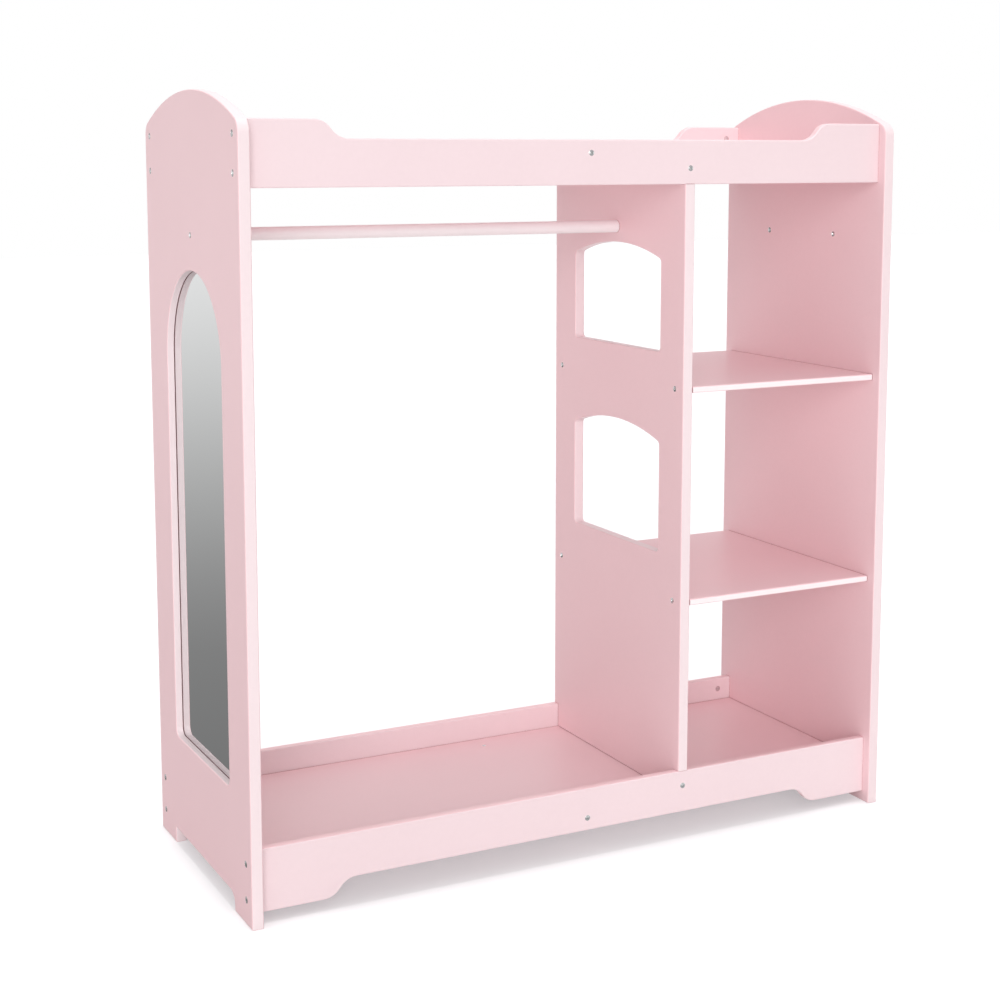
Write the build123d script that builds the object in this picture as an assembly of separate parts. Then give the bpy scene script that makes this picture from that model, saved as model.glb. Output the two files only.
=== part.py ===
from build123d import *
import math
import os

# A children's dress up unit of painted board: two arched end panels, the left one with a mirror,
# joined by four rails. A divider with two windows parts a hanging bay from three shelf bays.
# Lengths are in millimetres. X runs from the mirror end to the shelf end, the open front
# faces -Y and Z is up. The origin is on the floor, under the middle of the overall size.

# Overall size
body_length = 1000.0  # outside of one end panel to outside of the other
body_depth = 400.0
body_height = 1066.0  # floor to the crown of the end panels

# Boards
panel_thickness = 16.0  # end panels and divider
rail_thickness = 12.0
board_thickness = 12.0  # top and base board
shelf_thickness = 9.0
edge_round = 2.0  # eased edges of every visible board
edge_round_share = 0.4  # the most of a board's thickness that an edge's radius may take
contact_gap = 0.05  # around each dowel, bolt and screw in its hole

# End panels
arch_radius = 470.0
shoulder_radius = 20.0
foot_length = 69.0  # along the floor
foot_gap_height = 23.0
front_foot_curve = 16.0
rear_foot_curve = 3.0

# Rails: one outline, used four times. Distances are from the rail's straight edge.
rail_setback = 15.0  # behind the end panels' front and rear edges
rail_end_height = 85.0
rail_waist_height = 61.0
rail_raised_length = 88.0
rail_step_run = 47.0  # length of the S-shaped step from raised end to waist
top_rail_drop = 125.0  # from the crown of the end panels to the rail's straight edge
base_rail_top = 100.0
board_offset = 37.0  # from the rail's straight edge to the near face of a board

# Divider and its windows
hanging_bay_width = 634.0
window_width = 245.0
window_rise = 20.0  # of the shallow arch over each window
window_corner = 7.0
window_headroom = 87.0  # from the top rail down to the crown of the upper window
upper_window_height = 152.0
lower_window_height = 181.0
window_web = 111.0  # board left between the windows

# Shelves and rod
lower_bay_height = 280.0
middle_bay_height = 297.0
rod_diameter = 18.0
rod_drop = 101.0  # from the underside of the top board to the rod's centre

# Mirror
mirror_width = 236.0  # width of the opening, which ends in a half round
mirror_sill = 164.0
mirror_drop = 236.0  # from the crown of the end panel to the crown of the opening
mirror_corner = 12.0
rebate_margin = 10.0  # how far the rebate is wider than the opening
rebate_depth = 6.0
glass_thickness = 3.0
glass_gap = 0.5  # around the glass and its backing
clip_length = 26.0
clip_width = 14.0
clip_thickness = 1.2
clip_overlap = 9.0  # over the backing
clip_corner = 3.0
clips_per_side = 3
clip_end_distance = 70.0  # from sill and from the springing of the half round to a clip

# Batten under the base board
batten_width = 40.0
batten_thickness = 12.0

# Coat pegs outside the right end panel
peg_reach = 36.0
peg_head_radius = 13.0
peg_neck_radius = 6.5
peg_base_radius = 11.0
peg_base_thickness = 3.0
peg_neck_start = 11.0
peg_neck_end = 18.0
peg_head_widest = 26.0
peg_spacing = 164.0
peg_height = 862.0
peg_screw_bite = 22.0

# Bolts and barrel nuts
bolt_head_radius = 4.5
bolt_head_depth = 2.4
bolt_radius = 2.5
bolt_spacing = 48.0  # centred on the end of the rail
bolt_past_nut = 5.0
nut_inset = 24.0  # from the end of the rail
nut_radius = 4.5
nut_length = 9.5
nut_sink = 0.3  # below the rail's inner face
nut_slot_width = 1.2
nut_slot_depth = 1.0

# Screws
screw_head_radius = 4.0
screw_head_depth = 2.2
screw_radius = 2.0
screw_bite = 26.0  # length in the second piece
screw_tip = 4.0
small_head_radius = 3.4
small_head_depth = 1.8
small_radius = 1.6
small_bite = 9.0
head_crown = 0.8  # how far a head stands proud
recess_span = 0.56  # arms of the cross recess, as a part of the head's diameter
recess_width = 1.0
recess_depth = 1.6
divider_screw_offset = 22.0  # from the rail's straight edge
shelf_screw_inset = 21.5  # from the shelf's front and rear edges
batten_screw_clearance = 6.0  # from the tips of the screws in the board's edges

# Dowels
dowel_radius = 3.0
dowel_length = 30.0
dowel_in_panel = 10.0
dowel_spacing = 240.0

# Places worked out from the sizes above
overall_length = body_length + peg_reach + head_crown
left_x = head_crown - overall_length / 2
right_x = left_x + body_length
left_inner_x = left_x + panel_thickness
right_inner_x = right_x - panel_thickness
middle_x = (left_x + right_x) / 2
inner_length = right_inner_x - left_inner_x
divider_left_x = left_inner_x + hanging_bay_width
divider_right_x = divider_left_x + panel_thickness
divider_middle_x = (divider_left_x + divider_right_x) / 2
rail_face_y = body_depth / 2 - rail_setback  # outer faces of the rails
board_half_depth = rail_face_y - rail_thickness
rail_middle_y = rail_face_y - rail_thickness / 2
top_rail_edge = body_height - top_rail_drop
top_board_bottom = top_rail_edge + board_offset
base_board_top = base_rail_top - board_offset
base_board_bottom = base_board_top - board_thickness
lower_shelf_bottom = base_board_top + lower_bay_height
upper_shelf_bottom = lower_shelf_bottom + shelf_thickness + middle_bay_height
shelf_bottoms = (lower_shelf_bottom, upper_shelf_bottom)
shelf_screw_y = rail_face_y - shelf_screw_inset
upper_window_sill = top_rail_edge - window_headroom - upper_window_height
lower_window_sill = upper_window_sill - window_web - lower_window_height
rod_z = top_board_bottom - rod_drop
mirror_crown = body_height - mirror_drop
glass_x = left_inner_x - rebate_depth
backing_x = glass_x + glass_thickness

FRONT = -1
BACK = 1
LEFT = -1
RIGHT = 1


def corners_at(sketch, points):
    """The corners of a sketch that are nearest to the given points."""
    return [min(sketch.vertices(), key=lambda v: math.hypot(v.X - x, v.Y - y)) for x, y in points]


def slab_across(sketch, low_x, thickness):
    """A board whose outline is drawn as (Y, Z), from low_x on along X."""
    return extrude(Plane.YZ.offset(low_x) * sketch, amount=thickness)


def slab_along(sketch, low_y, thickness):
    """A board whose outline is drawn as (X, Z), from low_y on along Y."""
    return extrude(Plane.XZ.offset(-low_y - thickness) * sketch, amount=thickness)


def block(low, high):
    """A box between two opposite corners."""
    size = [b - a for a, b in zip(low, high)]
    middle = [(a + b) / 2 for a, b in zip(low, high)]
    return Pos(*middle) * Box(*size)


def eased(board, edges):
    """The board with these edges rounded, no more than its thickness allows."""
    thickness = min(board.bounding_box().size)
    return fillet(edges, min(edge_round, thickness * edge_round_share))


def cut(piece, tools):
    """The piece with every tool cut out of it."""
    for tool in tools:
        piece = piece - tool
    return piece


# Fasteners. Each points down -Z, with the surface that it sinks into at Z = 0.


def turned(profile):
    """A round piece from its half section, drawn as (radius, height)."""
    return revolve(Plane.XZ * make_face(profile), Axis.Z)


def screw(head_radius, head_depth, radius, length):
    """A raised countersunk screw with a cross recess."""
    tip_radius = radius / 2
    profile = Polyline(
        (0, head_crown),
        (0, -length),
        (tip_radius, -length),
        (radius, screw_tip - length),
        (radius, -head_depth),
        (head_radius, 0),
    )
    profile += TangentArc((0, head_crown), (head_radius, 0), tangent=(1, 0))
    span = 2 * head_radius * recess_span
    arm = Box(span, recess_width, recess_depth)
    recess = Pos(0, 0, head_crown - recess_depth / 2) * (arm + Rot(0, 0, 90) * arm)
    return turned(profile) - recess


def screw_hole(head_radius, head_depth, radius, length):
    """The countersunk hole that such a screw sits in."""
    profile = Polyline(
        (0, head_crown + contact_gap),
        (0, -length - contact_gap),
        (radius + contact_gap, -length - contact_gap),
        (radius + contact_gap, -head_depth),
        (head_radius + contact_gap, 0),
        (head_radius + contact_gap, head_crown + contact_gap),
        (0, head_crown + contact_gap),
    )
    return turned(profile)


def wood_screw_sizes(first_thickness, bite=screw_bite):
    return screw_head_radius, screw_head_depth, screw_radius, first_thickness + bite


def small_screw_sizes(first_thickness):
    return small_head_radius, small_head_depth, small_radius, first_thickness + small_bite


def bolt_sizes():
    length = panel_thickness + nut_inset + bolt_past_nut
    return bolt_head_radius, bolt_head_depth, bolt_radius, length


def placed(piece, planes):
    """One copy of the piece on every plane."""
    return [plane * piece for plane in planes]


# Where the fasteners go. Each plane lies on the outer surface, and its normal points out.


def rail_bolt_heights():
    """Bolt heights on the base rails and on the top rails."""
    middle = rail_end_height / 2
    offsets = (middle - bolt_spacing / 2, middle + bolt_spacing / 2)
    base = [base_rail_top - offset for offset in offsets]
    top = [top_rail_edge + offset for offset in offsets]
    return base, top


def rail_bolt_planes(side, rows=(FRONT, BACK), levels=(0, 1)):
    x = left_x if side == LEFT else right_x
    heights = rail_bolt_heights()
    return [
        Plane(origin=(x, row * rail_middle_y, z), x_dir=(0, 1, 0), z_dir=(side, 0, 0))
        for row in rows
        for level in levels
        for z in heights[level]
    ]


def barrel_nut_planes(side, rows=(FRONT, BACK), levels=(0, 1)):
    """On the inner face of each rail, at every bolt."""
    x = left_inner_x + nut_inset if side == LEFT else right_inner_x - nut_inset
    heights = rail_bolt_heights()
    return [
        Plane(origin=(x, row * board_half_depth, z), x_dir=(1, 0, 0), z_dir=(0, -row, 0))
        for row in rows
        for level in levels
        for z in heights[level]
    ]


def rail_face_plane(x, row, z):
    return Plane(origin=(x, row * rail_face_y, z), x_dir=(1, 0, 0), z_dir=(0, row, 0))


def board_screw_planes(rows=(FRONT, BACK), levels=(0, 1)):
    heights = (base_board_top - board_thickness / 2, top_board_bottom + board_thickness / 2)
    return [rail_face_plane(middle_x, row, heights[level]) for row in rows for level in levels]


def divider_screw_planes(rows=(FRONT, BACK), levels=(0, 1)):
    heights = (base_rail_top - divider_screw_offset, top_rail_edge + divider_screw_offset)
    return [rail_face_plane(divider_middle_x, row, heights[level]) for row in rows for level in levels]


def shelf_screw_planes(x, side, bottoms=shelf_bottoms):
    heights = [bottom + shelf_thickness / 2 for bottom in bottoms]
    return [
        Plane(origin=(x, row * shelf_screw_y, z), x_dir=(0, 1, 0), z_dir=(side, 0, 0))
        for row in (FRONT, BACK)
        for z in heights
    ]


def rod_screw_planes():
    left = Plane(origin=(left_x, 0, rod_z), x_dir=(0, 1, 0), z_dir=(-1, 0, 0))
    right = Plane(origin=(divider_right_x, 0, rod_z), x_dir=(0, 1, 0), z_dir=(1, 0, 0))
    return left, right


def peg_screw_planes():
    return [
        Plane(origin=(right_inner_x, row * peg_spacing / 2, peg_height), x_dir=(0, 1, 0), z_dir=(-1, 0, 0))
        for row in (FRONT, BACK)
    ]


def batten_screw_planes():
    y = board_half_depth - screw_bite - batten_screw_clearance
    return [Plane(origin=(middle_x, row * y, base_board_top)) for row in (FRONT, BACK)]


def dowel_planes(side, bottom):
    """On the inner face of an end panel, at the middle of a board's end."""
    x = left_inner_x if side == LEFT else right_inner_x
    z = bottom + board_thickness / 2
    return [
        Plane(origin=(x, row * dowel_spacing / 2, z), x_dir=(0, 1, 0), z_dir=(side, 0, 0))
        for row in (FRONT, BACK)
    ]


def clip_places():
    """(side, Z) of every mirror clip."""
    low = mirror_sill + clip_end_distance
    high = mirror_crown - mirror_width / 2 - clip_end_distance
    step = (high - low) / (clips_per_side - 1)
    return [(side, low + step * i) for side in (FRONT, BACK) for i in range(clips_per_side)]


def clip_screw_planes():
    y = mirror_width / 2 + rebate_margin + (clip_length - clip_overlap) / 2
    x = left_inner_x + clip_thickness
    return [Plane(origin=(x, side * y, z), x_dir=(0, 1, 0), z_dir=(1, 0, 0)) for side, z in clip_places()]


# Holes that more than one piece shares


def bolt_holes(side, rows=(FRONT, BACK), levels=(0, 1)):
    return placed(screw_hole(*bolt_sizes()), rail_bolt_planes(side, rows, levels))


def nut_holes(side, row, level):
    depth = nut_sink + nut_length + contact_gap
    hole = Pos(0, 0, -depth / 2) * Cylinder(nut_radius + contact_gap, depth)
    return placed(hole, barrel_nut_planes(side, (row,), (level,)))


def board_screw_holes(**where):
    return placed(screw_hole(*wood_screw_sizes(rail_thickness)), board_screw_planes(**where))


def divider_screw_holes(**where):
    return placed(screw_hole(*wood_screw_sizes(rail_thickness)), divider_screw_planes(**where))


def shelf_screw_holes(x, side, bottoms=shelf_bottoms):
    return placed(screw_hole(*wood_screw_sizes(panel_thickness)), shelf_screw_planes(x, side, bottoms))


def rod_screw_holes():
    return placed(screw_hole(*wood_screw_sizes(panel_thickness)), rod_screw_planes())


def peg_screw_holes():
    sizes = wood_screw_sizes(panel_thickness, peg_screw_bite)
    return placed(screw_hole(*sizes), peg_screw_planes())


def batten_screw_holes():
    return placed(screw_hole(*small_screw_sizes(board_thickness)), batten_screw_planes())


def clip_screw_holes():
    return placed(screw_hole(*small_screw_sizes(clip_thickness)), clip_screw_planes())


def dowel(gap=0.0):
    """A dowel across the plane of a panel's inner face, or with a gap, its hole."""
    length = dowel_length + 2 * gap
    middle = dowel_in_panel - dowel_length / 2
    return Pos(0, 0, middle) * Cylinder(dowel_radius + gap, length)


def dowel_holes(side, bottom):
    return placed(dowel(contact_gap), dowel_planes(side, bottom))


# Boards


def end_panel_blank(low_x):
    """An end panel before it is drilled: arched top, and two feet with a gap between them."""
    half = body_depth / 2
    shoulder = body_height - arch_radius + math.sqrt(arch_radius**2 - half**2)
    gap_end = half - foot_length
    outline = Polyline(
        (half, shoulder),
        (half, 0),
        (gap_end, 0),
        (gap_end, foot_gap_height),
        (-gap_end, foot_gap_height),
        (-gap_end, 0),
        (-half, 0),
        (-half, shoulder),
    )
    outline += ThreePointArc((-half, shoulder), (0, body_height), (half, shoulder))
    face = make_face(outline)
    face = fillet(corners_at(face, [(-half, shoulder), (half, shoulder)]), shoulder_radius)
    face = fillet(corners_at(face, [(-gap_end, foot_gap_height)]), front_foot_curve)
    face = fillet(corners_at(face, [(gap_end, foot_gap_height)]), rear_foot_curve)
    return slab_across(face, low_x, panel_thickness)


def mirror_shape(margin):
    """The mirror's outline as (Y, Z): square foot and half-round head, this much larger."""
    half = mirror_width / 2 + margin
    sill = mirror_sill - margin
    spring = mirror_crown - mirror_width / 2
    outline = Polyline((half, spring), (half, sill), (-half, sill), (-half, spring))
    outline += ThreePointArc((-half, spring), (0, spring + half), (half, spring))
    face = make_face(outline)
    return fillet(corners_at(face, [(half, sill), (-half, sill)]), mirror_corner + margin)


def left_end_panel():
    panel = end_panel_blank(left_x)
    panel = panel - slab_across(mirror_shape(0), left_x, panel_thickness)
    panel = eased(panel, panel.faces().filter_by(Axis.X).edges())
    panel = panel - slab_across(mirror_shape(rebate_margin), glass_x, rebate_depth)
    tools = bolt_holes(LEFT) + rod_screw_holes() + clip_screw_holes()
    for bottom in (base_board_bottom, top_board_bottom):
        tools = tools + dowel_holes(LEFT, bottom)
    return cut(panel, tools)


def right_end_panel():
    panel = end_panel_blank(right_inner_x)
    panel = eased(panel, panel.faces().filter_by(Axis.X).edges())
    tools = bolt_holes(RIGHT) + peg_screw_holes() + shelf_screw_holes(right_x, RIGHT)
    for bottom in (base_board_bottom, top_board_bottom):
        tools = tools + dowel_holes(RIGHT, bottom)
    return cut(panel, tools)


def window_shape(sill, height):
    half = window_width / 2
    shoulder = sill + height - window_rise
    outline = Polyline((half, shoulder), (half, sill), (-half, sill), (-half, shoulder))
    outline += ThreePointArc((-half, shoulder), (0, sill + height), (half, shoulder))
    face = make_face(outline)
    return fillet(face.vertices(), window_corner)


def divider():
    """Stands on the base board and reaches the top board, notched round all four rails."""
    wide = rail_face_y
    narrow = board_half_depth
    outline = Polyline(
        (narrow, base_board_top),
        (narrow, base_rail_top),
        (wide, base_rail_top),
        (wide, top_rail_edge),
        (narrow, top_rail_edge),
        (narrow, top_board_bottom),
        (-narrow, top_board_bottom),
        (-narrow, top_rail_edge),
        (-wide, top_rail_edge),
        (-wide, base_rail_top),
        (-narrow, base_rail_top),
        (-narrow, base_board_top),
        (narrow, base_board_top),
    )
    face = make_face(outline)
    face = face - window_shape(upper_window_sill, upper_window_height)
    face = face - window_shape(lower_window_sill, lower_window_height)
    board = slab_across(face, divider_left_x, panel_thickness)
    rims = []
    for side_face in board.faces().filter_by(Axis.X):
        for window_rim in side_face.inner_wires():
            rims = rims + list(window_rim.edges())
        outer = side_face.outer_wire().edges()
        rims = rims + [edge for edge in outer if abs(abs(edge.center().Y) - wide) < contact_gap]
    board = eased(board, rims)
    tools = divider_screw_holes() + rod_screw_holes() + shelf_screw_holes(divider_left_x, LEFT)
    return cut(board, tools)


def rail(row, level):
    """One rail: row is FRONT or BACK, level 0 is the base and 1 the top."""
    sense = 1 if level else -1
    edge_z = top_rail_edge if level else base_rail_top
    end_z = edge_z + sense * rail_end_height
    waist_z = edge_z + sense * rail_waist_height
    middle_z = (end_z + waist_z) / 2
    starts = (left_inner_x + rail_raised_length, right_inner_x - rail_raised_length)
    outline = Polyline(
        (starts[1], end_z),
        (right_inner_x, end_z),
        (right_inner_x, edge_z),
        (left_inner_x, edge_z),
        (left_inner_x, end_z),
        (starts[0], end_z),
    )
    for start, way in zip(starts, (1, -1)):
        half_way = (start + way * rail_step_run / 2, middle_z)
        foot = (start + way * rail_step_run, waist_z)
        outline += TangentArc((start, end_z), half_way, tangent=(way, 0))
        outline += TangentArc(foot, half_way, tangent=(-way, 0))
    outline += Line((starts[0] + rail_step_run, waist_z), (starts[1] - rail_step_run, waist_z))
    low_y = row * rail_middle_y - rail_thickness / 2
    board = slab_along(make_face(outline), low_y, rail_thickness)
    rims = [
        edge
        for edge in board.faces().filter_by(Axis.Y).edges()
        if left_inner_x + contact_gap < edge.center().X < right_inner_x - contact_gap
    ]
    board = eased(board, rims)
    where = {"rows": (row,), "levels": (level,)}
    tools = board_screw_holes(**where) + divider_screw_holes(**where)
    for side in (LEFT, RIGHT):
        tools = tools + bolt_holes(side, **where) + nut_holes(side, row, level)
    return cut(board, tools)


def long_board(bottom, level):
    """The top or base board, held between the rails and the end panels."""
    top = bottom + board_thickness
    low = (left_inner_x, -board_half_depth, bottom)
    high = (right_inner_x, board_half_depth, top)
    tools = board_screw_holes(levels=(level,)) + dowel_holes(LEFT, bottom) + dowel_holes(RIGHT, bottom)
    return cut(block(low, high), tools)


def base_board():
    return cut(long_board(base_board_bottom, 0), batten_screw_holes())


def top_board():
    return long_board(top_board_bottom, 1)


def base_batten():
    """Flat batten under the middle of the base board, from rail to rail."""
    low = (middle_x - batten_width / 2, -board_half_depth, base_board_bottom - batten_thickness)
    high = (middle_x + batten_width / 2, board_half_depth, base_board_bottom)
    return cut(block(low, high), batten_screw_holes())


def shelf(bottom):
    low = (divider_right_x, -rail_face_y, bottom)
    high = (right_inner_x, rail_face_y, bottom + shelf_thickness)
    board = block(low, high)
    board = eased(board, board.edges().filter_by(Axis.X))
    left_holes = shelf_screw_holes(divider_left_x, LEFT, (bottom,))
    right_holes = shelf_screw_holes(right_x, RIGHT, (bottom,))
    return cut(board, left_holes + right_holes)


def hanging_rod():
    plane = Plane(origin=(left_inner_x, 0, rod_z), x_dir=(0, 1, 0), z_dir=(1, 0, 0))
    rod = Pos(0, 0, hanging_bay_width / 2) * Cylinder(rod_diameter / 2, hanging_bay_width)
    return cut(plane * rod, rod_screw_holes())


# Mirror


def mirror_glass():
    return slab_across(mirror_shape(rebate_margin - glass_gap), glass_x, glass_thickness)


def mirror_backing():
    thickness = rebate_depth - glass_thickness
    return slab_across(mirror_shape(rebate_margin - glass_gap), backing_x, thickness)


def mirror_clips():
    """Flat clips screwed to the panel, each with one end over the backing."""
    clips = []
    for side, z in clip_places():
        edge = mirror_width / 2 + rebate_margin
        middle = side * (edge - clip_overlap + clip_length / 2)
        outline = Pos(middle, z) * RectangleRounded(clip_length, clip_width, clip_corner)
        clips.append(cut(slab_across(outline, left_inner_x, clip_thickness), clip_screw_holes()))
    return clips


# Pegs


def coat_pegs():
    """Turned pegs with a base, a neck and a round head."""
    profile = Polyline(
        (peg_neck_radius, peg_neck_end),
        (peg_neck_radius, peg_neck_start),
        (peg_base_radius, peg_base_thickness),
        (peg_base_radius, 0),
        (0, 0),
        (0, peg_reach),
    )
    head_rim = (peg_head_radius, peg_head_widest)
    profile += TangentArc((0, peg_reach), head_rim, tangent=(1, 0))
    profile += TangentArc((peg_neck_radius, peg_neck_end), head_rim, tangent=(0, 1))
    peg = turned(profile)
    planes = [
        Plane(origin=(right_x, row * peg_spacing / 2, peg_height), x_dir=(0, 1, 0), z_dir=(1, 0, 0))
        for row in (FRONT, BACK)
    ]
    return [cut(one, peg_screw_holes()) for one in placed(peg, planes)]


# Hardware


def rail_bolts(side):
    return placed(screw(*bolt_sizes()), rail_bolt_planes(side))


def barrel_nuts(side):
    """Round nuts in the rails' inner faces, each crossed by its bolt."""
    body = Pos(0, 0, -nut_sink - nut_length / 2) * Cylinder(nut_radius, nut_length)
    slot = Pos(0, 0, -nut_sink) * Box(2 * nut_radius, nut_slot_width, 2 * nut_slot_depth)
    bore = Rot(0, 90, 0) * Cylinder(bolt_radius + contact_gap, 2 * nut_radius)
    nut = body - slot - Pos(0, 0, -rail_thickness / 2) * bore
    return placed(nut, barrel_nut_planes(side))


def board_dowels():
    planes = []
    for side in (LEFT, RIGHT):
        for bottom in (base_board_bottom, top_board_bottom):
            planes = planes + dowel_planes(side, bottom)
    return placed(dowel(), planes)


def wood_screws(planes, first_thickness, bite=screw_bite):
    return placed(screw(*wood_screw_sizes(first_thickness, bite)), planes)


def small_screws(planes, first_thickness):
    return placed(screw(*small_screw_sizes(first_thickness)), planes)


sub_parts = {
    "left_end_panel": left_end_panel(),
    "right_end_panel": right_end_panel(),
    "divider": divider(),
    "base_front_rail": rail(FRONT, 0),
    "base_back_rail": rail(BACK, 0),
    "top_front_rail": rail(FRONT, 1),
    "top_back_rail": rail(BACK, 1),
    "base_board": base_board(),
    "top_board": top_board(),
    "base_batten": base_batten(),
    "lower_shelf": shelf(lower_shelf_bottom),
    "upper_shelf": shelf(upper_shelf_bottom),
    "hanging_rod": hanging_rod(),
    "mirror_glass": mirror_glass(),
    "mirror_backing": mirror_backing(),
    "mirror_clips": mirror_clips(),
    "mirror_clip_screws": small_screws(clip_screw_planes(), clip_thickness),
    "coat_pegs": coat_pegs(),
    "coat_peg_screws": wood_screws(peg_screw_planes(), panel_thickness, peg_screw_bite),
    "left_rail_bolts": rail_bolts(LEFT),
    "right_rail_bolts": rail_bolts(RIGHT),
    "left_barrel_nuts": barrel_nuts(LEFT),
    "right_barrel_nuts": barrel_nuts(RIGHT),
    "board_dowels": board_dowels(),
    "rail_board_screws": wood_screws(board_screw_planes(), rail_thickness),
    "rail_divider_screws": wood_screws(divider_screw_planes(), rail_thickness),
    "divider_shelf_screws": wood_screws(shelf_screw_planes(divider_left_x, LEFT), panel_thickness),
    "panel_shelf_screws": wood_screws(shelf_screw_planes(right_x, RIGHT), panel_thickness),
    "rod_screws": wood_screws(rod_screw_planes(), panel_thickness),
    "batten_screws": small_screws(batten_screw_planes(), board_thickness),
}

os.makedirs("parts", exist_ok=True)
for node, solids in sub_parts.items():
    shape = Compound(children=solids) if isinstance(solids, list) else solids
    export_step(shape, f"parts/{node}.step")
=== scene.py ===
import math

import bmesh
import bpy
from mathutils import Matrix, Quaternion, Vector


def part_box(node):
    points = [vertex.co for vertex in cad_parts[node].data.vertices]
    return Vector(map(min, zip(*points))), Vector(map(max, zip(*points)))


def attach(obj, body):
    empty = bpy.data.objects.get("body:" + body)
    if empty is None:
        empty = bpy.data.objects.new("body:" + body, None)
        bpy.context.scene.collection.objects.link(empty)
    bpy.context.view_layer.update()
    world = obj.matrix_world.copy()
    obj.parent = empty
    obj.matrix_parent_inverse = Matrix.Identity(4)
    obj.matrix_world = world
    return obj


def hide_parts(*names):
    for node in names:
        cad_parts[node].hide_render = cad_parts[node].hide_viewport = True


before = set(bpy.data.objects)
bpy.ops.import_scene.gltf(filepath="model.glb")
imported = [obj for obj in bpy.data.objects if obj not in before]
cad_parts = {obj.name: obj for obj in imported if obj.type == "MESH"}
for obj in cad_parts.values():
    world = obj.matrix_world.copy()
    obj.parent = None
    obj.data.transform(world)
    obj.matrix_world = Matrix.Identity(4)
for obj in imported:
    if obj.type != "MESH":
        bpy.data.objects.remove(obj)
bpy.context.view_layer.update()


# Mirror end panel
# The left end of the unit: 16 mm fibreboard, sawn to an arch and two feet, with a tall window
# for the mirror. A rebate behind the window takes the glass. The edges are rounded over by
# 2 mm, and the board is drilled for bolts, dowels and screws before it is painted.

AROUND_X = (1, 0, 0)
AROUND_Y = (0, -1, 0)
QUARTER = math.pi / 2
SAWN_ERROR = 0.00003  # how far a sawn curve may stray
SAWN_GAP = 0.00001  # how near two points count as one
FEWEST_STEPS = 4  # in any arc
SHARP_ANGLE = math.radians(30)  # edges sharper than this can be rounded over
SANDED_ANGLE = math.radians(35)  # edges flatter than this are sanded smooth

end_low, end_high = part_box("left_end_panel")
mirror_side_x = end_low.x
left_inner_x = end_high.x
half_depth = end_high.y
crown_z = end_high.z
panel_thickness = left_inner_x - mirror_side_x


def trace(axis, offset, start, strokes):
    """Draws an open outline: a stroke is an end point, or the centre and angle of an arc.

    Round X a point is (Y, Z) at X = offset, and round Y it is (X, Z) at Y = offset.
    The first dot is a small plane merged to a point.
    """
    def spot(across, up):
        return Vector((offset, across, up)) if axis == AROUND_X else Vector((across, offset, up))

    pen = spot(*start)
    bpy.ops.object.select_all(action="DESELECT")
    bpy.ops.mesh.primitive_plane_add(size=0.01, location=pen)
    bpy.ops.object.mode_set(mode="EDIT")
    bpy.ops.mesh.select_mode(type="VERT")
    bpy.ops.mesh.merge(type="CENTER")
    for stroke in strokes:
        if len(stroke) == 2:
            end = spot(*stroke)
            bpy.ops.mesh.extrude_vertices_move(TRANSFORM_OT_translate={"value": end - pen})
            pen = end
        elif abs(stroke[2]) > SAWN_GAP:
            centre, turn = spot(*stroke[:2]), stroke[2]
            step = 2 * math.acos(1 - SAWN_ERROR / (centre - pen).length)
            steps = max(FEWEST_STEPS, 2 * round(abs(turn) / step / 2))
            bpy.ops.mesh.spin(steps=steps, angle=-turn, center=centre, axis=axis)
            pen = centre + Quaternion(axis, turn) @ (pen - centre)
    bpy.ops.mesh.select_all(action="SELECT")
    bpy.ops.mesh.remove_doubles(threshold=SAWN_GAP)


def put_down(name):
    """Ends the work on a piece: its outside faces out and its origin is on the floor."""
    bpy.ops.mesh.select_all(action="SELECT")
    bpy.ops.mesh.normals_make_consistent(inside=False)
    bpy.ops.object.mode_set(mode="OBJECT")
    bpy.ops.object.transform_apply(location=True, rotation=True, scale=True)
    piece = bpy.context.object
    piece.name = name
    return piece


def saw_board(name, axis, offset, thickness, start, strokes):
    """A board with this outline, as thick as given from the offset on."""
    trace(axis, offset, start, strokes)
    bpy.ops.mesh.edge_face_add()
    way = Vector((thickness, 0, 0)) if axis == AROUND_X else Vector((0, thickness, 0))
    bpy.ops.mesh.extrude_region_move(TRANSFORM_OT_translate={"value": way})
    return put_down(name)


def arch(half, top, radius, shoulder):
    """Start and strokes of an arched head that is rounded into its two sides."""
    centre = top - radius
    inset = half - shoulder
    rise = math.sqrt((radius - shoulder) ** 2 - inset**2)
    lean = math.asin(inset / (radius - shoulder))
    corner = QUARTER - lean
    strokes = [
        (inset, centre + rise, corner),
        (0, centre, 2 * lean),
        (-inset, centre + rise, corner),
    ]
    return (half, centre + rise), strokes


def cut_away(board, cutter):
    """Cuts the cutter's shape out of the board, and throws the cutter away."""
    bpy.ops.object.select_all(action="DESELECT")
    bpy.context.view_layer.objects.active = board
    board.select_set(True)
    bpy.ops.object.modifier_add(type="BOOLEAN")
    cut = board.modifiers[-1]
    cut.solver = "EXACT"
    cut.object = cutter
    bpy.ops.object.modifier_apply(modifier=cut.name)
    bpy.data.objects.remove(cutter)


def round_over(board, width, steps, chosen):
    """Rounds the sharp edges of a board whose middles are chosen."""
    bpy.ops.object.select_all(action="DESELECT")
    bpy.context.view_layer.objects.active = board
    board.select_set(True)
    bpy.ops.object.mode_set(mode="EDIT")
    bpy.ops.mesh.select_mode(type="EDGE")
    bpy.ops.mesh.select_all(action="DESELECT")
    work = bmesh.from_edit_mesh(board.data)
    for edge in work.edges:
        sharp = edge.calc_face_angle(0) > SHARP_ANGLE
        if sharp and chosen((edge.verts[0].co + edge.verts[1].co) / 2):
            edge.select_set(True)
    bpy.ops.mesh.bevel(offset=width, segments=steps, profile=0.5, affect="EDGES", clamp_overlap=False)
    bpy.ops.object.mode_set(mode="OBJECT")


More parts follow.
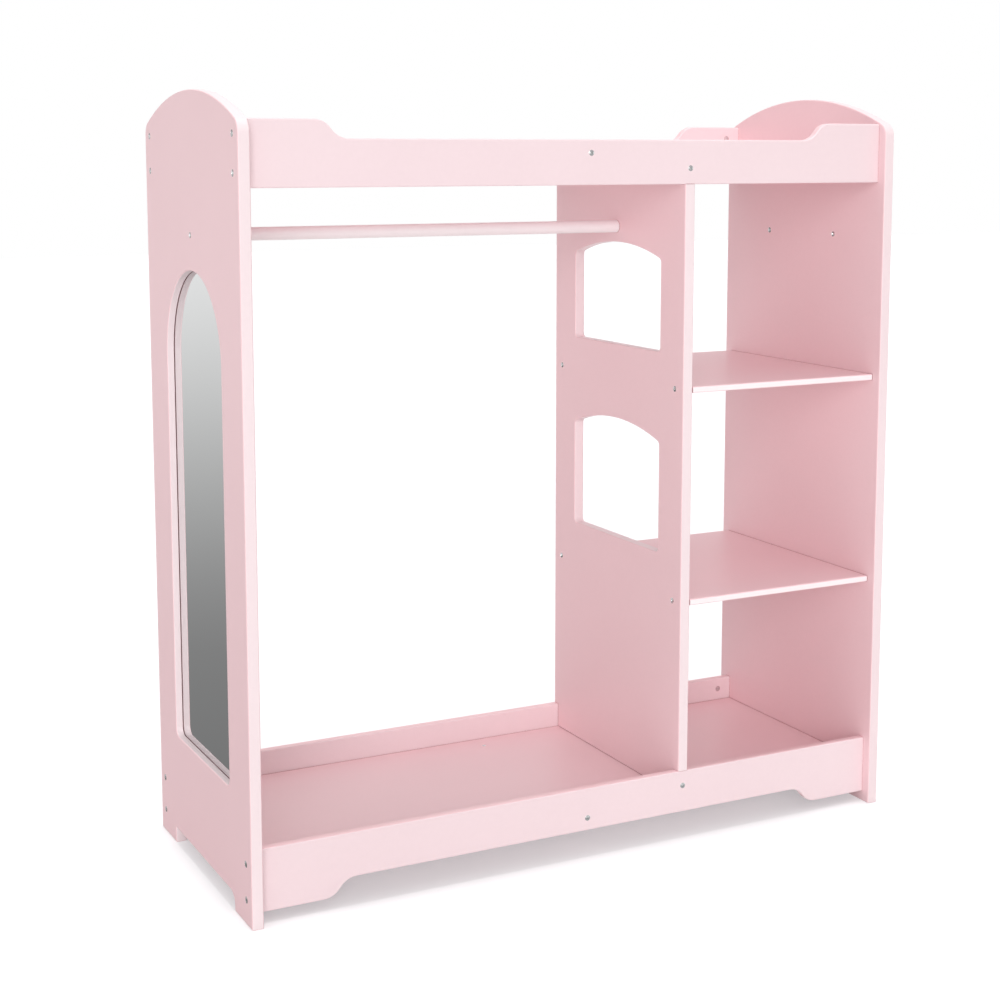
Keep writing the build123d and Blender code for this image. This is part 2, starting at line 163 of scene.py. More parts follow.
def sand(board):
    """Smooths the rounded edges and keeps the flats flat."""
    bpy.ops.object.select_all(action="DESELECT")
    bpy.context.view_layer.objects.active = board
    board.select_set(True)
    bpy.ops.object.shade_smooth_by_angle(angle=SANDED_ANGLE)
    bpy.ops.object.modifier_add(type="WEIGHTED_NORMAL")
    evened = board.modifiers[-1]
    evened.keep_sharp = True
    bpy.ops.object.modifier_apply(modifier=evened.name)


TURNED_SIDES = 32


def turn_solid(name, start, strokes):
    """A solid of revolution round the upright axis, from half its outline."""
    trace(AROUND_Y, 0, start, strokes)
    bpy.ops.mesh.spin(steps=TURNED_SIDES, angle=math.tau, center=(0, 0, 0), axis=(0, 0, 1))
    bpy.ops.mesh.select_all(action="SELECT")
    bpy.ops.mesh.remove_doubles(threshold=SAWN_GAP)
    return put_down(name)


def join(pieces, name):
    """Makes several pieces one object."""
    bpy.ops.object.select_all(action="DESELECT")
    for piece in pieces:
        piece.select_set(True)
    bpy.context.view_layer.objects.active = pieces[0]
    if len(pieces) > 1:
        bpy.ops.object.join()
    bpy.ops.object.transform_apply(location=True, rotation=True, scale=True)
    pieces[0].name = name
    return pieces[0]


def set_in(model, places):
    """Copies of a model. A place is a spot, the way out of its surface, and a turn."""
    copies = []
    for spot, outward, turn in places:
        copy = model.copy()
        copy.data = model.data.copy()
        bpy.context.collection.objects.link(copy)
        copy.rotation_mode = "QUATERNION"
        copy.rotation_quaternion = Vector(outward).to_track_quat("Z", "Y") @ Quaternion((0, 0, 1), turn)
        copy.location = spot
        copies.append(copy)
    return copies


REACH = 0.02  # from a board's box to the farthest bit that may touch it


def drill(board, *jobs):
    """Drills a board in one cut. A job is a bit and its places, of which some may be off the board."""
    bpy.context.view_layer.update()
    reach = Vector((REACH, REACH, REACH))
    low, high = Vector(board.bound_box[0]) - reach, Vector(board.bound_box[6]) + reach
    bits = []
    for bit, places in jobs:
        for place in places:
            if all(a < v < b for a, v, b in zip(low, place[0], high)):
                bits += set_in(bit, [place])
    cut_away(board, join(bits, "bits"))


OVERCUT = 0.004  # how far a cutter stands out of the board
HOLE_GAP = 0.00005  # between a fastener and its hole


def screw_bit(name, head, sunk, shank, length):
    """The bit that makes the countersunk hole for a screw of these sizes."""
    wide, narrow, deep, top = head + HOLE_GAP, shank + HOLE_GAP, length + HOLE_GAP, OVERCUT / 2
    mouth = wide + (wide - narrow) / sunk * top
    strokes = [(narrow, -deep), (narrow, -sunk), (mouth, top), (0, top)]
    return turn_solid(name, (0, -deep), strokes)


# Head radius, depth of the countersink, shank radius and length
BOLT = (0.0045, 0.0024, 0.0025, 0.045)
PANEL_SCREW = (0.004, 0.0022, 0.002, 0.042)
RAIL_SCREW = (0.004, 0.0022, 0.002, 0.038)
BATTEN_SCREW = (0.0034, 0.0018, 0.0016, 0.021)
CLIP_SCREW = (0.0034, 0.0018, 0.0016, 0.0102)

bolt_bit = screw_bit("bolt_bit", *BOLT)
panel_screw_bit = screw_bit("panel_screw_bit", *PANEL_SCREW)
rail_screw_bit = screw_bit("rail_screw_bit", *RAIL_SCREW)
clip_screw_bit = screw_bit("clip_screw_bit", *CLIP_SCREW)
batten_screw_bit = screw_bit("batten_screw_bit", *BATTEN_SCREW)

DOWEL_RADIUS, DOWEL_LENGTH, DOWEL_IN_PANEL = 0.003, 0.030, 0.010
dowel_hole_length = DOWEL_LENGTH + 2 * HOLE_GAP
bpy.ops.object.select_all(action="DESELECT")
bpy.ops.mesh.primitive_cylinder_add(
    vertices=TURNED_SIDES, radius=DOWEL_RADIUS + HOLE_GAP, depth=dowel_hole_length
)
dowel_bit = bpy.context.object
dowel_bit.location = (0, 0, DOWEL_IN_PANEL - DOWEL_LENGTH / 2)
bpy.ops.object.transform_apply(location=True)

BOLT_HEIGHTS = (0.0335, 0.0815, 0.9595, 1.0075)
RAIL_MIDDLES = (-0.179, 0.179)
bolts_left = [((mirror_side_x, y, z), (-1, 0, 0)) for y in RAIL_MIDDLES for z in BOLT_HEIGHTS]


TURN_APART = 2.4


def turned_about(places):
    """Gives each fastener a turn of its own, as it comes off the screwdriver."""
    return [(spot, outward, TURN_APART * i) for i, (spot, outward) in enumerate(places)]


BOARD_MIDDLES = (0.057, 0.984)
DOWEL_ROWS = (-0.12, 0.12)
dowels_left = [((left_inner_x, y, z), (-1, 0, 0), 0) for y in DOWEL_ROWS for z in BOARD_MIDDLES]
ROD_Z = 0.877
LEFT_SCREW_TURN, RIGHT_SCREW_TURN = 0.9, 0.4
rod_screw_left = ((mirror_side_x, 0, ROD_Z), (-1, 0, 0), LEFT_SCREW_TURN)

MIRROR_HALF = 0.118
MIRROR_SILL = 0.164
MIRROR_CROWN = 0.830
MIRROR_CORNER = 0.012
REBATE_MARGIN = 0.010
REBATE_DEPTH = 0.006
CLIP_HEIGHTS = (0.234, 0.438, 0.642)
CLIP_ROWS = (-0.1365, 0.1365)
glass_x = left_inner_x - REBATE_DEPTH
CLIP_THICKNESS = 0.0012
clip_face_x = left_inner_x + CLIP_THICKNESS
clip_screws = [((clip_face_x, y, z), (1, 0, 0)) for y in CLIP_ROWS for z in CLIP_HEIGHTS]

ARCH_RADIUS, SHOULDER_RADIUS = 0.470, 0.020
FOOT_LENGTH, FOOT_GAP_TOP = 0.069, 0.023
FRONT_FOOT_CURVE, REAR_FOOT_CURVE = 0.016, 0.003


def end_panel_outline():
    """Two feet, the front one with the wider curve, and the arched head."""
    start, head = arch(half_depth, crown_z, ARCH_RADIUS, SHOULDER_RADIUS)
    foot_end = half_depth - FOOT_LENGTH
    feet = [
        (-half_depth, 0),
        (-foot_end, 0),
        (-foot_end, FOOT_GAP_TOP - FRONT_FOOT_CURVE),
        (FRONT_FOOT_CURVE - foot_end, FOOT_GAP_TOP - FRONT_FOOT_CURVE, -QUARTER),
        (foot_end - REAR_FOOT_CURVE, FOOT_GAP_TOP),
        (foot_end - REAR_FOOT_CURVE, FOOT_GAP_TOP - REAR_FOOT_CURVE, -QUARTER),
        (foot_end, 0),
        (half_depth, 0),
    ]
    return start, head + feet


def mirror_outline(margin):
    """The window for the mirror, or its rebate with a margin all round."""
    half, sill, corner = MIRROR_HALF + margin, MIRROR_SILL - margin, MIRROR_CORNER + margin
    start, head = arch(half, MIRROR_CROWN + margin, half, 0)
    foot = [
        (-half, sill + corner),
        (corner - half, sill + corner, QUARTER),
        (half - corner, sill),
        (half - corner, sill + corner, QUARTER),
    ]
    return start, head + foot


EASED, EASED_STEPS = 0.002, 4
window_start = mirror_side_x - OVERCUT
window_run = panel_thickness + 2 * OVERCUT
mirror_end = saw_board("mirror_end_panel", AROUND_X, mirror_side_x, panel_thickness, *end_panel_outline())
cut_away(mirror_end, saw_board("window", AROUND_X, window_start, window_run, *mirror_outline(0)))
for face_x in (mirror_side_x, left_inner_x):
    round_over(mirror_end, EASED, EASED_STEPS, lambda co: abs(co.x - face_x) < SAWN_GAP)
rebate = saw_board("rebate", AROUND_X, glass_x, REBATE_DEPTH + OVERCUT, *mirror_outline(REBATE_MARGIN))
cut_away(mirror_end, rebate)


def on_ledge(co):
    """On the window's edge, at the back of the ledge that the glass lies against."""
    up = max(0, co.z - MIRROR_CROWN + MIRROR_HALF)
    in_window = math.hypot(co.y, up) < MIRROR_HALF + SAWN_GAP and co.z > MIRROR_SILL - SAWN_GAP
    return in_window and abs(co.x - glass_x) < SAWN_GAP


LEDGE_EASE, EASE_STEPS = 0.0008, 2
round_over(mirror_end, LEDGE_EASE, EASE_STEPS, on_ledge)
drill(
    mirror_end,
    (bolt_bit, turned_about(bolts_left)),
    (dowel_bit, dowels_left),
    (panel_screw_bit, [rod_screw_left]),
    (clip_screw_bit, turned_about(clip_screws)),
)
sand(mirror_end)

# The paint: pink satin, sprayed over sanded fibreboard. It has a fine orange peel, slow
# changes of tone across a board and a few dust nibs. The sawn edges, the rails' faces and the rod
# are painted paler where they meet the front lamp, as painted highlight, and the pieces inside
# the unit are painted a little paler than the mirror end, making up for their shade.


def new_group(name, inputs, outputs):
    """An empty shader effect with named inputs and outputs."""
    group = bpy.data.node_groups.new(name, "ShaderNodeTree")
    for label, value in inputs.items():
        socket = group.interface.new_socket(label, in_out="INPUT", socket_type="NodeSocketFloat")
        socket.default_value = value
    for label, kind in outputs.items():
        group.interface.new_socket(label, in_out="OUTPUT", socket_type=kind)
    given, made = group.nodes.new("NodeGroupInput"), group.nodes.new("NodeGroupOutput")
    return group, group.nodes, group.links.new, given, made


def calculate(nodes, link, operation, first, second):
    """A sum of two values, each a socket or a number."""
    node = nodes.new("ShaderNodeMath")
    node.operation = operation
    for socket, value in zip(node.inputs, (first, second)):
        if isinstance(value, (int, float)):
            socket.default_value = value
        else:
            link(value, socket)
    return node.outputs[0]


def noise(nodes, link, place, per_metre, detail, roughness=0.5):
    """Cloudy noise with so many lumps to a metre, which is a socket or a number."""
    node = nodes.new("ShaderNodeTexNoise")
    node.inputs["Detail"].default_value = detail
    node.inputs["Roughness"].default_value = roughness
    link(place, node.inputs["Vector"])
    if isinstance(per_metre, (int, float)):
        node.inputs["Scale"].default_value = per_metre
    else:
        link(per_metre, node.inputs["Scale"])
    return node.outputs["Fac"]


SLOW_PER_METRE, SLOW_SHARE = 3.5, 0.7
MOTTLE_PER_METRE = 170
NIB_SIZE, NIB_HEIGHT, NIB_RARITY = 0.05, 2.5, 0.93

film, nodes, link, given, made = new_group(
    "paint_film",
    {"Peel per metre": 420, "Peel height": 0.00002, "Nibs per metre": 60},
    {"Tone": "NodeSocketFloat", "Gloss": "NodeSocketFloat", "Normal": "NodeSocketVector"},
)
place = nodes.new("ShaderNodeTexCoord").outputs["Object"]
slow = noise(nodes, link, place, SLOW_PER_METRE, detail=3)
mottle = noise(nodes, link, place, MOTTLE_PER_METRE, detail=5)
peel = noise(nodes, link, place, given.outputs["Peel per metre"], detail=3, roughness=0.6)
nib = nodes.new("ShaderNodeTexVoronoi")
link(place, nib.inputs["Vector"])
link(given.outputs["Nibs per metre"], nib.inputs["Scale"])
lump = nodes.new("ShaderNodeMapRange")
lump.inputs["From Min"].default_value = NIB_SIZE
lump.inputs["From Max"].default_value = 0
link(nib.outputs["Distance"], lump.inputs["Value"])
speck = nodes.new("ShaderNodeSeparateColor")
link(nib.outputs["Color"], speck.inputs["Color"])
rare = calculate(nodes, link, "GREATER_THAN", speck.outputs["Red"], NIB_RARITY)
nibs = calculate(nodes, link, "MULTIPLY", lump.outputs["Result"], rare)
height = calculate(nodes, link, "ADD", peel, calculate(nodes, link, "MULTIPLY", nibs, NIB_HEIGHT))
bump = nodes.new("ShaderNodeBump")
link(height, bump.inputs["Height"])
link(given.outputs["Peel height"], bump.inputs["Distance"])
link(bump.outputs["Normal"], made.inputs["Normal"])
tone = calculate(nodes, link, "MULTIPLY", slow, SLOW_SHARE)
fine_tone = calculate(nodes, link, "MULTIPLY", mottle, 1 - SLOW_SHARE)
link(calculate(nodes, link, "ADD", tone, fine_tone), made.inputs["Tone"])
link(mottle, made.inputs["Gloss"])

# Edges that have been rubbed thin: where a rounded normal turns away from the true one.
EDGE_SAMPLES, EDGE_STARTS, EDGE_FULL = 6, 0.99, 0.85
worn, nodes, link, given, made = new_group("worn_edge", {"Width": 0.0015}, {"Mask": "NodeSocketFloat"})
rounded = nodes.new("ShaderNodeBevel")
rounded.samples = EDGE_SAMPLES
link(given.outputs["Width"], rounded.inputs["Radius"])
flat = nodes.new("ShaderNodeNewGeometry")
facing = nodes.new("ShaderNodeVectorMath")
facing.operation = "DOT_PRODUCT"
link(rounded.outputs["Normal"], facing.inputs[0])
link(flat.outputs["Normal"], facing.inputs[1])
mask = nodes.new("ShaderNodeMapRange")
mask.inputs["From Min"].default_value = EDGE_STARTS
mask.inputs["From Max"].default_value = EDGE_FULL
link(facing.outputs["Value"], mask.inputs["Value"])
link(mask.outputs["Result"], made.inputs["Mask"])

# Painted shade in the seams between boards: the paint darkens where ambient occlusion finds another part
# close by.
painted_seam_shade, nodes, link, given, made = new_group("painted_seam_shade", {"Reach": 0.1}, {"Mask": "NodeSocketFloat"})
shade = nodes.new("ShaderNodeAmbientOcclusion")
shade.samples = EDGE_SAMPLES
link(given.outputs["Reach"], shade.inputs["Distance"])
link(calculate(nodes, link, "SUBTRACT", 1, shade.outputs["AO"]), made.inputs["Mask"])


def new_material(name):
    """A material with its shader, and the tools to wire it."""
    material = bpy.data.materials.new(name)
    material.use_nodes = True
    nodes = material.node_tree.nodes
    return material, nodes, material.node_tree.links.new, nodes["Principled BSDF"]


def effect(nodes, group, **values):
    """Places a shader effect in a material with its own values."""
    node = nodes.new("ShaderNodeGroup")
    node.node_tree = group
    for label, value in values.items():
        node.inputs[label.replace("_", " ")].default_value = value
    return node


def blend_of(nodes, link, factor, first, second):
    """A colour between two others: each is a socket or a colour."""
    mix = nodes.new("ShaderNodeMix")
    mix.data_type = "RGBA"
    link(factor, mix.inputs["Factor"])
    for label, value in (("A", first), ("B", second)):
        socket = [s for s in mix.inputs if s.name == label and s.type == "RGBA"][0]
        if isinstance(value, tuple):
            socket.default_value = (*value, 1)
        else:
            link(value, socket)
    return [s for s in mix.outputs if s.type == "RGBA"][0]


def rescaled(nodes, link, value, low, high, from_low=0.3, from_high=0.7):
    """A value stretched to a new range. Noise lies mostly between 0.3 and 0.7."""
    node = nodes.new("ShaderNodeMapRange")
    link(value, node.inputs["Value"])
    ends = {"From Min": from_low, "From Max": from_high, "To Min": low, "To Max": high}
    for label, number in ends.items():
        node.inputs[label].default_value = number
    return node.outputs["Result"]


# PINK is the paint; the next two are copies of it for the light they get: a little paler for the pieces
# inside the unit, against their shade, and paler again for sawn edges that meet the front lamp, as
# painted highlight.
PINK = (0.955, 0.668, 0.700)
PINK_INSIDE = (0.962, 0.690, 0.722)
PINK_EDGE_LIT = (0.910, 0.765, 0.785)
PINK_THINNEST = (0.935, 0.840, 0.855)
# The deep pink of the painted shade in the seams.
PINK_SEAM_SHADE = (0.600, 0.270, 0.290)
TONE_RANGE = 0.018
RUBBED = 0.35
# How far the painted seam shade reaches, where it starts and how dark it gets.
SEAM_SHADE_REACH, SEAM_SHADE_STARTS, SEAM_SHADE_FULL, SEAM_SHADE_DEPTH = 0.0025, 0.3, 0.55, 0.8
SATIN, SMOOTHER, ROUGHER = 0.44, 0.04, 0.05
LACQUER, LACQUER_ROUGHNESS = 0.12, 0.28


def pink_paint(name, through, face=PINK, sawn=PINK_EDGE_LIT, roughness=SATIN, **film_values):
    """Pink satin paint on a board whose thickness lies along the axis through, or on turned wood."""
    material, nodes, link, shader = new_material(name)
    paint = effect(nodes, film, **film_values)
    edge = effect(nodes, worn)
    seam_shade = effect(nodes, painted_seam_shade, Reach=SEAM_SHADE_REACH)
    facing = nodes.new("ShaderNodeSeparateXYZ")
    link(nodes.new("ShaderNodeNewGeometry").outputs["Normal"], facing.inputs["Vector"])
    across = calculate(nodes, link, "ABSOLUTE", facing.outputs[through], 0)
    on_sawn_edge = rescaled(nodes, link, across, 1, 0)
    # Faces and sawn edges take their own tones; the paler of the two, on the side that meets the front
    # lamp, is painted highlight.
    tones = []
    for shift in (-TONE_RANGE, TONE_RANGE):
        face_tone, sawn_tone = [tuple(part + shift for part in pink) for pink in (face, sawn)]
        tones.append(blend_of(nodes, link, on_sawn_edge, face_tone, sawn_tone))
    colour = blend_of(nodes, link, rescaled(nodes, link, paint.outputs["Tone"], 0, 1), *tones)
    rubbed = rescaled(nodes, link, edge.outputs["Mask"], 0, RUBBED, 0, 1)
    colour = blend_of(nodes, link, rubbed, colour, PINK_THINNEST)
    # Painted shade: the colour darkens to a deep pink in the seams between boards.
    in_seam_shade = rescaled(nodes, link, seam_shade.outputs["Mask"], 0, SEAM_SHADE_DEPTH, SEAM_SHADE_STARTS, SEAM_SHADE_FULL)
    colour = blend_of(nodes, link, in_seam_shade, colour, PINK_SEAM_SHADE)
    link(colour, shader.inputs["Base Color"])
    uneven = rescaled(nodes, link, paint.outputs["Gloss"], roughness - SMOOTHER, roughness + ROUGHER)
    link(uneven, shader.inputs["Roughness"])
    link(paint.outputs["Normal"], shader.inputs["Normal"])
    shader.inputs["Coat Weight"].default_value = LACQUER
    shader.inputs["Coat Roughness"].default_value = LACQUER_ROUGHNESS
    return material


# The mirror end keeps the paint's own pink on its faces; its sawn edges are painted paler, as painted
# highlight.
painted_panel = pink_paint("painted_panel", "X")


def finish(piece, material, slot, *nodes):
    """Gives a finished piece its material, hangs it on the root body, and hides the CAD nodes it stands
    for.
    """
    piece.data.materials.clear()
    piece.data.materials.append(material)
    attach(piece, "root")
    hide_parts(*nodes)


finish(mirror_end, painted_panel, "painted_board", "left_end_panel")


# Shelf end panel
# The right end of the unit: the same arched board without a window. It carries the shelves
# and two coat pegs, whose screws are driven from inside.

other_low, other_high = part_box("right_end_panel")
right_inner_x, right_x = other_low.x, other_high.x
SHELF_MIDDLES = (0.3475, 0.6535)
SHELF_SCREW_ROWS = (-0.1635, 0.1635)
PEG_ROWS = (-0.082, 0.082)
PEG_Z = 0.862
bolts_right = [((right_x, y, z), (1, 0, 0)) for y in RAIL_MIDDLES for z in BOLT_HEIGHTS]
dowels_right = [((right_inner_x, y, z), (1, 0, 0), 0) for y in DOWEL_ROWS for z in BOARD_MIDDLES]
shelf_screws_right = [((right_x, y, z), (1, 0, 0)) for y in SHELF_SCREW_ROWS for z in SHELF_MIDDLES]
peg_screws = [((right_inner_x, y, PEG_Z), (-1, 0, 0)) for y in PEG_ROWS]

shelf_end = saw_board("shelf_end_panel", AROUND_X, right_inner_x, panel_thickness, *end_panel_outline())
for face_x in (right_inner_x, right_x):
    round_over(shelf_end, EASED, EASED_STEPS, lambda co: abs(co.x - face_x) < SAWN_GAP)
drill(
    shelf_end,
    (bolt_bit, turned_about(bolts_right)),
    (dowel_bit, dowels_right),
    (panel_screw_bit, turned_about(shelf_screws_right)),
    (rail_screw_bit, turned_about(peg_screws)),
)
sand(shelf_end)
# The shelf end's sawn edges are painted a paler, less red pink than its faces, as painted highlight from
# the front lamp.
PINK_END_EDGE_LIT = (0.895, 0.735, 0.757)
painted_end = pink_paint("painted_end", "X", PINK_INSIDE, PINK_END_EDGE_LIT)
finish(shelf_end, painted_end, "painted_board", "right_end_panel")


# Rails
# Four rails of 12 mm fibreboard join the ends, all sawn to one outline: two raised ends that
# step down to a waist in an S-curve. The lower two are turned over, so the raised ends are feet.

RAIL_FACE_Y = 0.185
BOARD_HALF_DEPTH = 0.173
RAIL_THICKNESS = RAIL_FACE_Y - BOARD_HALF_DEPTH
DIVIDER_MIDDLE_X = 0.1404
middle_x = (mirror_side_x + right_x) / 2

BASE_RAIL_TOP, TOP_RAIL_BOTTOM = 0.100, 0.941
RAIL_END_HEIGHT, RAIL_WAIST_HEIGHT = 0.085, 0.061
RAISED_LENGTH, STEP_RUN = 0.088, 0.047
step_rise = RAIL_END_HEIGHT - RAIL_WAIST_HEIGHT
step_radius = (STEP_RUN**2 + step_rise**2) / (4 * step_rise)


def rail_outline(straight_z, sense):
    """The rail's outline: sense is 1 where the raised ends point up, and -1 where down."""
    end_z, waist_z = straight_z + sense * RAIL_END_HEIGHT, straight_z + sense * RAIL_WAIST_HEIGHT
    left_end, right_end = left_inner_x + RAISED_LENGTH, right_inner_x - RAISED_LENGTH
    turn = sense * math.asin(STEP_RUN / 2 / step_radius)
    inner, outer = waist_z + sense * step_radius, end_z - sense * step_radius
    return (left_inner_x, straight_z), [
        (right_inner_x, straight_z),
        (right_inner_x, end_z),
        (right_end, end_z),
        (right_end, outer, turn),
        (right_end - STEP_RUN, inner, -turn),
        (left_end + STEP_RUN, waist_z),
        (left_end + STEP_RUN, inner, -turn),
        (left_end, outer, turn),
        (left_inner_x, end_z),
    ]


DIVIDER_SCREW_HEIGHTS = (0.078, 0.963)


def rail_screws(row):
    """Two screws on each rail: one into the board behind it, one into the divider."""
    face_y, outward = row * RAIL_FACE_Y, (0, row, 0)
    board = [((middle_x, face_y, z), outward) for z in BOARD_MIDDLES]
    divider = [((DIVIDER_MIDDLE_X, face_y, z), outward) for z in DIVIDER_SCREW_HEIGHTS]
    return board, divider


NUT_INSET, NUT_RADIUS, NUT_LENGTH, NUT_SINK = 0.024, 0.0045, 0.0095, 0.0003
nut_hole_depth = NUT_SINK + NUT_LENGTH + HOLE_GAP
bpy.ops.object.select_all(action="DESELECT")
bpy.ops.mesh.primitive_cylinder_add(
    vertices=TURNED_SIDES, radius=NUT_RADIUS + HOLE_GAP, depth=nut_hole_depth + OVERCUT / 2
)
nut_bit = bpy.context.object
nut_bit.location = (0, 0, OVERCUT / 4 - nut_hole_depth / 2)
bpy.ops.object.transform_apply(location=True)


def nut_places(x, row):
    """The nuts near one end of the two rails in front, row -1, or behind, row 1."""
    return [((x, row * BOARD_HALF_DEPTH, z), (0, -row, 0), 0) for z in BOLT_HEIGHTS]


nuts_left = [place for row in (-1, 1) for place in nut_places(left_inner_x + NUT_INSET, row)]
nuts_right = [place for row in (-1, 1) for place in nut_places(right_inner_x - NUT_INSET, row)]

# The rails' faces are painted a paler, less red pink than the paint, as painted highlight where they meet
# the front lamp.
PINK_RAIL_LIT = (0.890, 0.715, 0.742)
painted_rail = pink_paint("painted_rail", "Y", PINK_RAIL_LIT, PINK)


def make_rail(name, node, row, straight_z, sense):
    """Saws, drills and paints one rail; its straight edge is at straight_z."""
    low_y = row * (RAIL_FACE_Y + BOARD_HALF_DEPTH) / 2 - RAIL_THICKNESS / 2
    rail = saw_board(name, AROUND_Y, low_y, RAIL_THICKNESS, *rail_outline(straight_z, sense))

    def along_edge(co):
        between_ends = left_inner_x + SAWN_GAP < co.x < right_inner_x - SAWN_GAP
        on_face = min(abs(co.y - low_y), abs(co.y - low_y - RAIL_THICKNESS)) < SAWN_GAP
        return between_ends and on_face

    round_over(rail, EASED, EASED_STEPS, along_edge)
    into_board, into_divider = rail_screws(row)
    drill(
        rail,
        (bolt_bit, turned_about(bolts_left + bolts_right)),
        (rail_screw_bit, turned_about(into_board + into_divider)),
    )
    drill(rail, (nut_bit, nuts_left + nuts_right))
    sand(rail)
    finish(rail, painted_rail, "painted_board", node)


make_rail("front_base_rail", "base_front_rail", -1, BASE_RAIL_TOP, -1)
make_rail("back_base_rail", "base_back_rail", 1, BASE_RAIL_TOP, -1)
make_rail("front_top_rail", "top_front_rail", -1, TOP_RAIL_BOTTOM, 1)
make_rail("back_top_rail", "top_back_rail", 1, TOP_RAIL_BOTTOM, 1)


# Base board, top board and batten
# Two plain 12 mm boards lie between the rails, screwed through them and dowelled to the ends.
# A flat batten runs under the middle of the base board from rail to rail.


def plain_board(name, low, high):
    """A board sawn to a plain box."""
    bpy.ops.object.select_all(action="DESELECT")
    middle, size = (Vector(low) + Vector(high)) / 2, Vector(high) - Vector(low)
    bpy.ops.mesh.primitive_cube_add(size=1, location=middle, scale=size)
    bpy.ops.object.transform_apply(location=True, rotation=True, scale=True)
    board = bpy.context.object
    board.name = name
    return board


SAWN_EASE = 0.0006
HAIRLINE = 0.0007
# The boards' and shelves' front edges are painted nearly white-pink, as painted highlight from the front
# lamp, and their faces a little paler than the paint against their shade.
PINK_SHELF_EDGE_LIT = (0.975, 0.895, 0.905)
painted_shelf = pink_paint("painted_shelf", "Z", PINK_INSIDE, PINK_SHELF_EDGE_LIT)
BASE_BOARD_TOP = 0.063
BATTEN_SCREW_ROWS = (-0.141, 0.141)
batten_screws = [((middle_x, y, BASE_BOARD_TOP), (0, 0, 1)) for y in BATTEN_SCREW_ROWS]
rail_board_screws = [screw for row in (-1, 1) for screw in rail_screws(row)[0]]
rail_divider_screws = [screw for row in (-1, 1) for screw in rail_screws(row)[1]]

for name, node in (("base_shelf_board", "base_board"), ("top_shelf_board", "top_board")):
    low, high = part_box(node)
    joint = Vector((HAIRLINE, HAIRLINE, 0))
    board = plain_board(name, low + joint, high - joint)
    round_over(board, SAWN_EASE, EASE_STEPS, lambda co: True)
    drill(
        board,
        (rail_screw_bit, turned_about(rail_board_screws)),
        (dowel_bit, dowels_left + dowels_right),
        (batten_screw_bit, turned_about(batten_screws)),
    )
    sand(board)
    finish(board, painted_shelf, "painted_board", node)

BATTEN_EASE = 0.001
batten = plain_board("middle_batten", *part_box("base_batten"))
round_over(batten, BATTEN_EASE, EASE_STEPS, lambda co: True)
drill(batten, (batten_screw_bit, turned_about(batten_screws)))
sand(batten)
finish(batten, painted_shelf, "painted_board", "base_batten")


# Divider
# The 16 mm board between the hanging bay and the shelves. It stands on the base board, is
# notched round all four rails, and has two arched windows with rounded corners.

divider_low, divider_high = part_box("divider")
WINDOW_HALF = 0.1225
WINDOW_RISE = 0.020
WINDOW_CORNER = 0.007
WINDOW_RADIUS = (WINDOW_HALF**2 + WINDOW_RISE**2) / (2 * WINDOW_RISE)
UPPER_WINDOW, LOWER_WINDOW = (0.702, 0.854), (0.410, 0.591)


def divider_outline():
    """Narrow between the rails, and wide enough in between to be flush with them."""
    low, high = divider_low.z + HAIRLINE, divider_high.z
    wide, narrow = RAIL_FACE_Y, BOARD_HALF_DEPTH - HAIRLINE
    right = [
        (narrow, BASE_RAIL_TOP),
        (wide, BASE_RAIL_TOP),
        (wide, TOP_RAIL_BOTTOM),
        (narrow, TOP_RAIL_BOTTOM),
        (narrow, high),
    ]
    left = [(-y, z) for y, z in reversed(right)]
    return (narrow, low), right + left + [(-narrow, low)]


def window_outline(sill, crown):
    """A shallow arch over a square foot, with all four corners rounded."""
    start, head = arch(WINDOW_HALF, crown, WINDOW_RADIUS, WINDOW_CORNER)
    side, floor = WINDOW_HALF, sill + WINDOW_CORNER
    foot = [
        (-side, floor),
        (WINDOW_CORNER - side, floor, QUARTER),
        (side - WINDOW_CORNER, sill),
        (side - WINDOW_CORNER, floor, QUARTER),
    ]
    return start, head + foot


divider_x = divider_low.x
divider = saw_board("windowed_divider", AROUND_X, divider_x, panel_thickness, *divider_outline())
for sill, crown in (UPPER_WINDOW, LOWER_WINDOW):
    opening = saw_board("window", AROUND_X, divider_x - OVERCUT, window_run, *window_outline(sill, crown))
    cut_away(divider, opening)


def window_or_front_edge(co):
    """On the rim of a window, or on the open edge in front or behind."""
    on_face = min(abs(co.x - divider_low.x), abs(co.x - divider_high.x)) < SAWN_GAP
    between = LOWER_WINDOW[0] - SAWN_GAP < co.z < UPPER_WINDOW[1] + SAWN_GAP
    in_window = abs(co.y) < WINDOW_HALF + SAWN_GAP and between
    open_edge = abs(abs(co.y) - RAIL_FACE_Y) < SAWN_GAP
    return on_face and (in_window or open_edge)


round_over(divider, EASED, EASED_STEPS, window_or_front_edge)
shelf_screws_left = [((divider_x, y, z), (-1, 0, 0)) for y in SHELF_SCREW_ROWS for z in SHELF_MIDDLES]
rod_screw_right = ((divider_high.x, 0, ROD_Z), (1, 0, 0), RIGHT_SCREW_TURN)
drill(
    divider,
    (rail_screw_bit, turned_about(rail_divider_screws)),
    (panel_screw_bit, turned_about(shelf_screws_left) + [rod_screw_right]),
)
sand(divider)
# The divider is painted a little paler than the paint against its shade, with paler sawn edges as painted
# highlight.
painted_divider = pink_paint("painted_divider", "X", PINK_INSIDE)
finish(divider, painted_divider, "painted_board", "divider")


# Shelves
# Two 9 mm shelves between the divider and the right end, screwed through both. Their long
# edges are rounded over.

